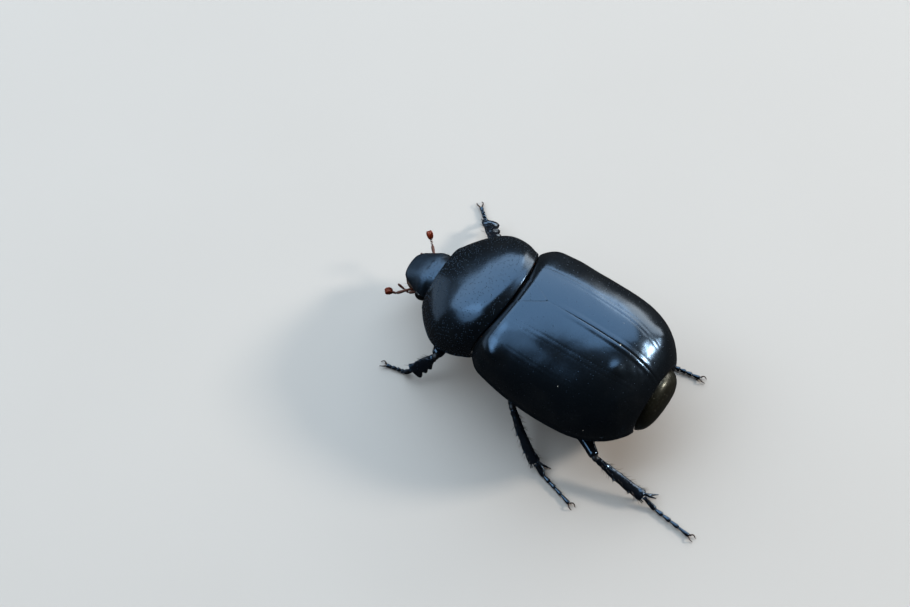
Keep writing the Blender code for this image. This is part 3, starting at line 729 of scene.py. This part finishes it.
# share of a club leaf's length, distance from its base, spread, half width, half depth
LEAF_ROWS = ((0, 0, 0.4, 0.1, 0.07), (0.3, 0.18, 0.95, 0.22, 0.085), (0.7, 0.42, 1.1, 0.24, 0.09),
             (1, 0.6, 0.8, 0.14, 0.07))
PALP_BENDS = ((1.0, -6.8, 2.0), (1.42, -7.35, 1.8), (1.42, -8.25, 2.12))
JAW_ROWS = ((0, (0.75, -6.85, 1.95), 0.38, 0.24), (0.4, (0.8, -7.35, 1.98), 0.38, 0.24),
            (0.75, (0.6, -7.8, 2.05), 0.26, 0.16), (1, (0.26, -8.06, 2.12), 0.1, 0.09))
rust_red = rusty("feeler_rust", (0.1, 0.012, 0.003), 0.25)
rust_brown = rusty("feeler_stalk", (0.034, 0.008, 0.004), 0.4)
jaw_brown = chitin("jaw_brown", (0.02, 0.009, 0.005), 0.5, 0.12, 0.025, 0.5, dust=0.05,
                   sheen_colour=(0.6, 0.45, 0.35))

for word, side in SIDES:
    root, middle = mirrored((1.35, -7.1, 2.55), side), middle_of("club_" + word)
    elbow = meeting("antenna_" + word, "club_" + word)
    elbow = elbow.lerp(farthest("antenna_" + word, middle), 0.15) - UP * 0.28
    toward = (middle - elbow).normalized()
    stalk = [limb(((0, root, 0.11, 0.1), (0.35, root.lerp(elbow, 0.35) + UP * 0.06, 0.085, 0.08),
                   (0.8, root.lerp(elbow, 0.82), 0.11, 0.1), (1, elbow, 0.08, 0.08)), 22, 14)]
    for bead in range(4):
        at = elbow + toward * ((middle - elbow).length - 0.3) * bead / 4
        stalk.append(limb(((0, at, 0.06, 0.06), (0.6, at + toward * 0.05, 0.085 + 0.008 * bead, 0.08),
                           (1, at + toward * 0.09, 0.06, 0.06)), 10, 12))
    piece("antenna_stalk_" + word, joined(stalk), rust_brown, "rust_feeler", "antenna_" + word)
    leaves = []
    base = middle - toward * 0.32
    fan = toward.cross(UP).normalized()
    for leaf in (-1, 0, 1):
        shift = fan * leaf * LEAF_GAP
        rows = [(share, base + toward * ahead + shift * apart, half, deep)
                for share, ahead, apart, half, deep in LEAF_ROWS]
        leaves.append(limb(rows, 18, 18, fan))
    piece("antenna_club_" + word, joined(leaves), rust_red, "rust_feeler", "club_" + word)

    start, bend, end = (mirrored(point, side) for point in PALP_BENDS)
    palp = [limb(((0, start, 0.09, 0.09), (0.6, start.lerp(bend, 0.7), 0.11, 0.11),
                  (1, bend, 0.08, 0.08)), 12, 12)]
    for near, far, thick in ((0.0, 0.45, 0.085), (0.42, 1.0, 0.09)):
        rows = straight(bend.lerp(end, near), bend.lerp(end, far), (0, 0.06, 0.06), (0.6, thick, thick),
                        (1, 0.07, 0.07))
        palp.append(limb(rows, 12, 12))
    piece("palp_joints_" + word, joined(palp), rust_brown, "rust_feeler", "palp_" + word)

    jaw = [(share, mirrored(point, side), half, deep) for share, point, half, deep in JAW_ROWS]
    piece("jaw_" + word, limb(jaw, 24, 18), jaw_brown, "black_limb", "mandible_" + word)

# ---------------------------------------- underside
# The front ring of the chest, its two rear rings as one, the jointed belly and the chin plate: dark
# chitin, duller than the shell, with a groove along the chest and seams between the belly rings.

BELLY_Z = 1.6
KEEL = 2 / 1.5
CLEAR = 0.06                    # room left between the body and the shell over it
BELLY_SEAMS = (5.5, 6.55, 7.55, 8.5, 9.4, 10.1)
belly_brown = chitin("belly_brown", (0.022, 0.0125, 0.008), 0.3, 0.2, 0.05, 0.85, dust=0.2, pit_depth=0.015,
                     sheen_colour=(0.95, 0.93, 0.9))
chest_black = chitin("chest_black", (0.009, 0.007, 0.006), 0.32, 0.18, 0.05, 0.85, pit_depth=0.015,
                     sheen_colour=(0.8, 0.85, 0.9))


def trunk(rows, start, end, shape, rings, sides):
    """A ring of the body through rows of (y, half width, crown, margin z, depth), with blunt ends."""
    def surface(share, angle):
        y = start + (end - start) * share
        half, crown, margin, depth = profile(rows, y)
        s, c = sin(angle), cos(angle)
        size = blunt(share, 0.03)
        if c > 0:
            x, rise = signed_power(s, SQUARENESS), crown * c ** SQUARENESS
        else:
            x, rise = signed_power(s, KEEL), -(depth + shape(y, angle)) * abs(c) ** KEEL
        return Vector((half * size * x, y, margin + rise * size))

    return round_body(surface, rings, sides)


def under_case(y, depth):
    """Section of the body under the wing cases at this y; depth is a share of that of the belly."""
    bases = (case_base_y(0), case_base_y(1))
    shares = [min(CASE_CUT, max(0, (y - base) / (CASE_LENGTH - base))) for base in bases]
    half = min(case_half_width(t) for t in shares) - SHELL - CLEAR
    crown = min(case_crown(t) for t in shares) - 0.67
    margin = case_margin_z(shares[0])
    return (y, half * 0.97, crown, margin, (margin - BELLY_Z) * depth)


def under_shield(y, depth):
    """Section of the body that fits under the pronotum at this y."""
    u = (y + SHIELD_LENGTH - 0.25) / (SHIELD_LENGTH - 0.9)
    half, crown = shield_half_width(u) - SHELL - CLEAR, shield_crown(u) - 0.9
    return (y, half * 0.93, crown, shield_margin_z(u), depth)


def chest_groove(y, angle):
    return -0.1 * hump(abs(angle) - pi, 0.045)


def belly_seams(y, angle):
    bow = 0.35 * sin(angle) ** 2
    return -0.09 * sum(hump(y - bow - seam, 0.07) for seam in BELLY_SEAMS)


neck_depths = ((-4.75, 0.9), (-4.4, 1.7), (-3.4, 2.3), (-2.2, 2.4), (-1.2, 2.3), (-0.8, 2.1))
neck = trunk([under_shield(y, depth) for y, depth in neck_depths], -4.8, -0.8, lambda y, angle: 0, 60, 90)
piece("chest_front", neck, chest_black, "dark_underside", "prosternum")

chest_rows = [(-0.9, 3.0, 2.3, CASE_MARGIN_Z, 1.9), (-0.45, 3.3, 2.4, CASE_MARGIN_Z, 2.0),
              (0.1, 3.6, 2.6, CASE_MARGIN_Z, 2.4)]
chest_rows += [under_case(y, depth) for y, depth in ((0.6, 0.94), (1.4, 1), (3.0, 1), (4.76, 0.98))]
piece("chest_rear", trunk(chest_rows, -0.85, 4.76, chest_groove, 80, 96), chest_black, "dark_underside",
      "pterothorax")

belly_depths = ((4.6, 0.93), (6.2, 0.96), (7.6, 0.93), (8.8, 0.87), (9.8, 0.79), (10.4, 0.73), (10.75, 0.68))
belly = trunk([under_case(y, depth) for y, depth in belly_depths], 4.7, 10.75, belly_seams, 120, 96)
piece("belly", belly, belly_brown, "dark_underside", "abdomen")

chin_rows = ((0, Vector((0, -5.6, 2.2)), 0.7, 0.3), (0.5, Vector((0, -6.5, 1.85)), 0.68, 0.26),
             (1, Vector((0, -7.05, 1.72)), 0.36, 0.2))
piece("chin_plate", limb(chin_rows, 24, 24), belly_brown, "dark_underside", "labium")

# ---------------------------------------- tail plate
# The last plate of the abdomen (pygidium), bare behind the wing cases: a blunt, gently bulging shield,
# satin brown-black and finely pitted.

PYGIDIUM_ROWS = ((0, 0, 1), (0.15, 0.2, 1), (0.42, 0.5, 0.94), (0.68, 0.78, 0.8), (0.88, 0.97, 0.58),
                 (1, 1.08, 0.28))
PYGIDIUM_Y, PYGIDIUM_LOW = 10.78, 2.4


def pygidium_surface(share, angle):
    out, size = profile(PYGIDIUM_ROWS, share)
    size *= blunt(share, 0.06)
    s, c = sin(angle), cos(angle)
    z = (case_crown(CASE_CUT) - SHELL - CLEAR if c > 0 else PYGIDIUM_LOW) * c * size
    x = (case_half_width(CASE_CUT) - SHELL - CLEAR - 0.2) * s * size
    lean = 0.16 * max(0, -z) * min(1, share / 0.3)
    return Vector((x, PYGIDIUM_Y + out - lean, case_margin_z(CASE_CUT) + z))


tail_satin = chitin("tail_satin", (0.006, 0.0055, 0.0035), 0.3, 0.13, 0.042, 0.9, pit_depth=0.024, dust=0.05,
                    sheen_colour=(0.5, 0.5, 0.4))
piece("tail_plate", round_body(pygidium_surface, 60, 72), tail_satin, "black_shell", "pygidium")

# ---------------------------------------- legs
# Six legs of black chitin. Each has a hip piece set in the chest, a thick oval thigh, a shin that widens
# to teeth or spurs, and a foot of five slim joints with two claws. Dark skin shows at the knee.

THIGH = {"front": (0.42, 0.56, 0.38), "middle": (0.4, 0.58, 0.36), "hind": (0.4, 0.7, 0.38)}
SHIN = {"front": (0.27, 0.42, 0.5), "middle": (0.24, 0.29, 0.38), "hind": (0.24, 0.34, 0.4)}
SHIN_FLATNESS = {"front": 0.45, "middle": 0.75, "hind": 0.75}
SHIN_TURN = {"front_left": radians(50), "front_right": radians(15)}
SHIN_BOW = {"front": 0.0, "middle": 0.08, "hind": 0.03}      # how far the shin bows outwards
# height of the shin's teeth, and where they stand
TEETH = {"front": (0.19, (0.42, 0.66, 0.93)), "middle": (0.05, (0.4, 0.72)), "hind": (0.05, (0.4, 0.72))}
BRISTLES = {"front": 26, "middle": 64, "hind": 64}
TOES = ((0.26, 1.2), (0.165, 1.05), (0.165, 1.0), (0.18, 0.95), (0.23, 0.9))    # share of the foot, width
TOE_HALF, TOE_LAP = 0.15, 1.04
CLAW, CLAW_SPREAD = 0.45, 0.17

limb_black = chitin("limb_black", (0.003, 0.0035, 0.005), 0.15, 0.24, 0.05, 0.7, pit_depth=0.02, wave=0.02,
                    sheen_colour=(0.45, 0.7, 1.0))
skin_brown = rusty("joint_skin", (0.006, 0.004, 0.0035), 0.35, (0.6, 0.7, 0.8))
claw_brown = rusty("claw_brown", (0.02, 0.008, 0.005), 0.22, (0.9, 0.8, 0.75))
bristle_brown = rusty("bristle_brown", (0.012, 0.008, 0.006), 0.4, (0.8, 0.75, 0.75))


def bristle(bm, root, tip, radius, sides=4):
    """One stiff hair: a thin cone from root to tip."""
    reach = tip - root
    turn = UP.rotation_difference(reach).to_matrix().to_4x4()
    place = Matrix.Translation(root.lerp(tip, 0.5)) @ turn
    bmesh.ops.create_cone(bm, cap_ends=True, segments=sides, radius1=radius, radius2=radius * 0.2,
                          depth=reach.length, matrix=place)


def spur(root, tip, radius, bow=Vector((0, 0, 0))):
    """A curved spine, thick at its root."""
    middle = root.lerp(tip, 0.5) + bow
    rows = ((0, root, radius, radius), (0.5, middle, radius * 0.7, radius * 0.6), (1, tip, 0.025, 0.025))
    return limb(rows, 14, 10, UP if abs((tip - root).normalized().z) < 0.9 else Vector((1, 0, 0)))


LEGS = [(pair, word, side) for pair in ("front", "middle", "hind") for word, side in SIDES]
for pair, word, side in LEGS:
    ending = pair + "_" + word
    low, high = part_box("coxa_" + ending)
    hip, radii = middle_of("coxa_" + ending), (high - low) / 2 / MM
    hinge = meeting("coxa_" + ending, "femur_" + ending)
    knee = meeting("femur_" + ending, "tibia_" + ending)
    ankle = meeting("tibia_" + ending, "tarsus_" + ending)
    toe_end = farthest("tarsus_" + ending, ankle)

    def hip_surface(share, angle):
        out = ball(share, angle)
        return hip + out * radii * (1 + 0.03 * noise.noise(out * 2))

    piece("hip_" + ending, round_body(hip_surface, 28, 36), belly_brown, "dark_underside", "coxa_" + ending)

    # thigh, with the small wedge (trochanter) that hinges it to the hip
    start, middle, end = THIGH[pair]
    reach = (knee - hinge).normalized()
    rows = ((0, hinge + reach * 0.15, start * 0.8, start * 0.7),
            (0.18, hinge.lerp(knee, 0.2), start * 1.12, start * 0.85),
            (0.5, hinge.lerp(knee, 0.5), middle, middle * 0.62),
            (0.82, hinge.lerp(knee, 0.82), end * 1.12, end * 0.9),
            (1, knee - reach * 0.05, end * 0.85, end * 0.85))
    wedge = ((0, hinge - reach * 0.3, 0.26, 0.24), (0.5, hinge + reach * 0.1, 0.34, 0.3),
             (1, hinge + reach * 0.5, 0.2, 0.2))
    thigh = joined([limb(rows, 40, 28), limb(wedge, 16, 18)])
    piece("thigh_" + ending, thigh, limb_black, "black_limb", "femur_" + ending)

    # knee skin
    along = (ankle - knee).normalized()
    skin = ((0, knee - reach * 0.25, 0.2, 0.2), (0.5, knee, 0.24, 0.22), (1, knee + along * 0.3, 0.2, 0.18))
    piece("knee_skin_" + ending, limb(skin, 14, 16), skin_brown, "black_limb")

    # shin: out is the side of its teeth, across its flat side
    root, middle, end = SHIN[pair]
    out = along.cross(UP).normalized()
    if out.x * side < 0:
        out = -out
    down = along.cross(out)
    if down.z > 0:
        down = -down
    tooth_turn = SHIN_TURN.get(ending, 0)
    out = out * cos(tooth_turn) + down * sin(tooth_turn)
    across = along.cross(out)
    flat = SHIN_FLATNESS[pair]
    height, places = TEETH[pair]
    first = knee + along * 0.08
    bow = out * SHIN_BOW[pair]
    rows = ((0, first, root * 0.85, root * 0.8),
            (0.12, first.lerp(ankle, 0.12) + bow * 0.4, root * 1.05, root * 0.9),
            (0.45, first.lerp(ankle, 0.45) + bow, middle, max(0.2, middle * flat)),
            (0.8, first.lerp(ankle, 0.8) + bow * 0.6, (middle + end) / 2, max(0.22, end * flat * 0.9)),
            (0.95, first.lerp(ankle, 0.95), end * 1.08, max(0.24, end * flat)),
            (1, ankle, end, max(0.24, end * flat)))

    def shin_shape(share, angle):
        outward = cos(angle) * (1 if run_of(rows, share, across)[1].dot(out) > 0 else -1)
        lump = 0.035 * noise.noise(Vector((share * 13, cos(angle) * 1.6, sin(angle) * 1.6)))
        lump += 0.02 * noise.noise(Vector((share * 32, cos(angle) * 4, sin(angle) * 4)))
        if outward <= 0:
            return lump
        teeth = sum(hump(max(0, share - place) + max(0, place - share) * 0.4, 0.05) for place in places)
        return lump + height * teeth * outward ** 3

    shapes = [limb(rows, 70, 30, across, 0.45, shin_shape)]
    for way in ((1,) if pair == "front" else (1, -1)):
        base = ankle - out * end * 0.45 + across * 0.12 * way - along * 0.1
        tip = base + along * 0.85 - out * 0.15
        if pair != "front":
            tip = base + (along * (0.9 - 0.1 * way) - out * (0.45 + 0.2 * way)) * (1.0 + 0.15 * way)
        tip += across * 0.1 * way
        tip.z = max(tip.z, 0.1)
        shapes.append(spur(base, tip, 0.085 if pair == "front" else 0.13, out * 0.03))
    if pair != "front":
        for place in places:
            at = profile(rows, place)[0] + out * (middle + 0.06)
            for step in (-1, 0, 1):
                base = at - out * 0.1 + across * step * 0.12
                shapes.append(spur(base, base + (out * 0.5 + along * 0.7).normalized() * 0.26, 0.03))
        for step in range(7):
            turn = pi * (step / 6 - 0.5)
            rim = ankle + (out * cos(turn) * end + across * sin(turn) * end * flat) * 0.9
            shapes.append(spur(rim - along * 0.08, rim + along * 0.2 + (rim - ankle) * 0.15, 0.03))
    piece("shin_" + ending, joined(shapes), limb_black, "black_limb", "tibia_" + ending)

    hairs = bmesh.new()
    for step in range(BRISTLES[pair]):
        share = 0.12 + 0.84 * chance.random()
        centre, half, deep = profile(rows, share)
        way = -1 if step % 3 else 1
        turn = chance.uniform(-0.9, 0.9)
        edge = out * way * cos(turn) * half + across * sin(turn) * deep
        at = centre + edge * 0.93
        lean = edge.normalized() * chance.uniform(0.5, 0.9) + along * chance.uniform(0.5, 1.0)
        tip = at + lean.normalized() * chance.uniform(0.22, 0.5)
        tip.z = max(tip.z, 0.05)
        bristle(hairs, at, tip, 0.017)
    piece("shin_bristles_" + ending, hairs, bristle_brown, "black_limb")

    # foot: it drops to the ground along its first joint
    start = ankle + along * 0.05
    last = Vector((toe_end.x, toe_end.y, TOE_HALF))
    back = start - last
    back.z = 0
    back = back.normalized()
    last += back * CLAW

    def foot_point(share):
        at = start.lerp(last, share)
        at.z = start.z + (TOE_HALF - start.z) * min(1, share / 0.24) + 0.04 * sin(pi * share)
        return at

    toes, share = [], 0
    for part, width in TOES:
        a, b = foot_point(share), foot_point(share + part * TOE_LAP)
        wide = TOE_HALF * width
        rows = straight(a, b, (0, wide * 0.5, wide * 0.5), (0.3, wide * 0.76, wide * 0.76),
                        (0.8, wide * 1.02, wide), (1, wide * 0.9, wide * 0.85))
        toes.append(limb(rows, 18, 14, cap=0.6))
        aside = (b - a).cross(UP).normalized()
        for way in (1, -1):
            thorn = b - (b - a) * 0.12 + aside * way * wide * 0.6 - UP * 0.06
            tip = thorn + (b - a).normalized() * 0.2 + aside * way * 0.02
            tip.z = max(tip.z, 0.02)
            toes.append(spur(thorn, tip, 0.018))
        share += part
    piece("foot_" + ending, joined(toes), limb_black, "black_limb", "tarsus_" + ending)
    spread = Vector((-back.y, back.x, 0))
    claws = []
    for way in (1, -1):
        tip = last - back * CLAW + spread * way * CLAW_SPREAD
        tip.z = 0.05
        claws.append(spur(last + spread * way * 0.05, tip, 0.06, spread * way * 0.1 + UP * 0.14))
    piece("claws_" + ending, joined(claws), claw_brown, "black_limb")

# ---------------------------------------- hairs of the body
# Short stiff rust-coloured hairs rooted in the chitin: a fringe in the joint between the shield and the
# wing cases, and a few round the mouth.

hair_rust = rusty("hair_rust", (0.06, 0.022, 0.01), 0.4)
fringe = bmesh.new()
for step in range(200):
    at = shield_point(0.985, radians(chance.uniform(-100, 100)), SHELL + 0.05) - Vector((0, 0.05, 0))
    tip = at + Vector((chance.uniform(-0.06, 0.06), chance.uniform(0.1, 0.22), chance.uniform(-0.2, -0.05)))
    bristle(fringe, at, tip, 0.01, 3)
piece("shield_fringe", fringe, hair_rust, "rust_feeler")

mouth = bmesh.new()
for step in range(90):
    side = 1 if step % 2 else -1
    at = Vector((side * chance.uniform(0.2, 1.3), chance.uniform(-7.7, -6.6), chance.uniform(1.9, 2.2)))
    tip = at + Vector((side * chance.uniform(0, 0.2), -chance.uniform(0.1, 0.35), -chance.uniform(0.1, 0.25)))
    bristle(mouth, at, tip, 0.012, 3)
piece("mouth_hairs", mouth, hair_rust, "rust_feeler")

# ---------------------------------------- stand and light
# A plain pale floor, a large cool soft light high on the far side of the beetle with two fainter ones
# ahead of it, two small white ones low behind it, and a camera high behind its left side.

pale_floor, tree, shader, place = new_look("pale_floor")
tint = mixed(tree, cloudy(tree, place, 60.0, 4.0), (0.33, 0.29, 0.255, 1), (0.345, 0.305, 0.27, 1))
feed(tree, shader, {"Base Color": tint, "Roughness": 0.8})
ground = bmesh.new()
bmesh.ops.create_grid(ground, x_segments=8, y_segments=8, size=0.5)
floor = placed("floor", mesh_of("floor", ground, pale_floor))
floor.visible_glossy = False        # the polished shell stays black low down

CAMERA_AZIMUTH, CAMERA_ELEVATION, CAMERA_ROLL = 113.988, 63.001, -9.612
CAMERA_DISTANCE = 0.25
CAMERA_VIEW = 0.060667          # width of the view at that distance
CAMERA_RIGHT, CAMERA_UP = -6.119, 2.039     # moved across its view, in millimetres
COOL, WARM = (0.66, 0.83, 1.0), (1.0, 0.97, 0.92)
aim = waist + Vector((0, 2.5, 4.5)) * MM


def direction(azimuth, elevation):
    """From the beetle outwards: azimuth 0 ahead of it, 90 on its left."""
    azimuth, elevation = radians(azimuth), radians(elevation)
    return Vector((sin(azimuth) * cos(elevation), -cos(azimuth) * cos(elevation), sin(elevation)))


def soft_light(name, azimuth, elevation, distance, width, height, brightness, colour):
    """A panel facing the beetle; brightness is its radiance."""
    lamp = bpy.data.lights.new(name, "AREA")
    lamp.shape = "RECTANGLE"
    lamp.size, lamp.size_y = width, height
    lamp.energy = brightness * pi * width * height
    lamp.color = colour
    panel = placed(name, lamp)
    out = direction(azimuth, elevation)
    panel.location = aim + out * distance
    panel.rotation_euler = out.to_track_quat("Z", "Y").to_euler()
    panel.visible_camera = False


soft_light("sky_panel", 325, 49.5, 0.42, 1.0, 0.545, 4.8, COOL)
soft_light("front_panel", 43, 41, 0.45, 0.28, 0.24, 3.0, COOL)
soft_light("ahead_panel", 4, -10, 0.45, 0.27, 0.22, 0.85, COOL)
soft_light("rear_panel", 262, 14, 0.5, 0.28, 0.26, 5.0, WARM)
soft_light("low_panel", 226, 28, 0.5, 0.08, 0.08, 130.0, WARM)

world = bpy.data.worlds.new("studio")
bpy.context.scene.world = world
world.use_nodes = True
sky = world.node_tree
ray = node(sky, "LightPath").outputs
seen = times(sky, ray["Is Camera Ray"], 0.52)
mirrored_room = times(sky, ray["Is Glossy Ray"], 0.05)
level_of_light = math_node(sky, "SUBTRACT", math_node(sky, "ADD", seen, 0.08), mirrored_room)
feed(sky, sky.nodes["Background"], {"Color": (0.9, 0.95, 1.0, 1), "Strength": level_of_light})
bpy.context.scene.view_settings.view_transform = "Standard"

lens = bpy.data.cameras.new("camera")
lens.sensor_width = 36
lens.lens = 36 * CAMERA_DISTANCE / CAMERA_VIEW
lens.clip_start = 0.01
camera = placed("camera", lens)
back = direction(CAMERA_AZIMUTH, CAMERA_ELEVATION)
level = Vector((cos(radians(CAMERA_AZIMUTH)), sin(radians(CAMERA_AZIMUTH)), 0))
upright, roll = back.cross(level), radians(CAMERA_ROLL)
across = level * cos(roll) - upright * sin(roll)
upward = level * sin(roll) + upright * cos(roll)
camera.matrix_world = Matrix((across, upward, back)).transposed().to_4x4()
camera.location = aim + back * CAMERA_DISTANCE + (across * CAMERA_RIGHT + upward * CAMERA_UP) * MM
bpy.context.scene.camera = camera
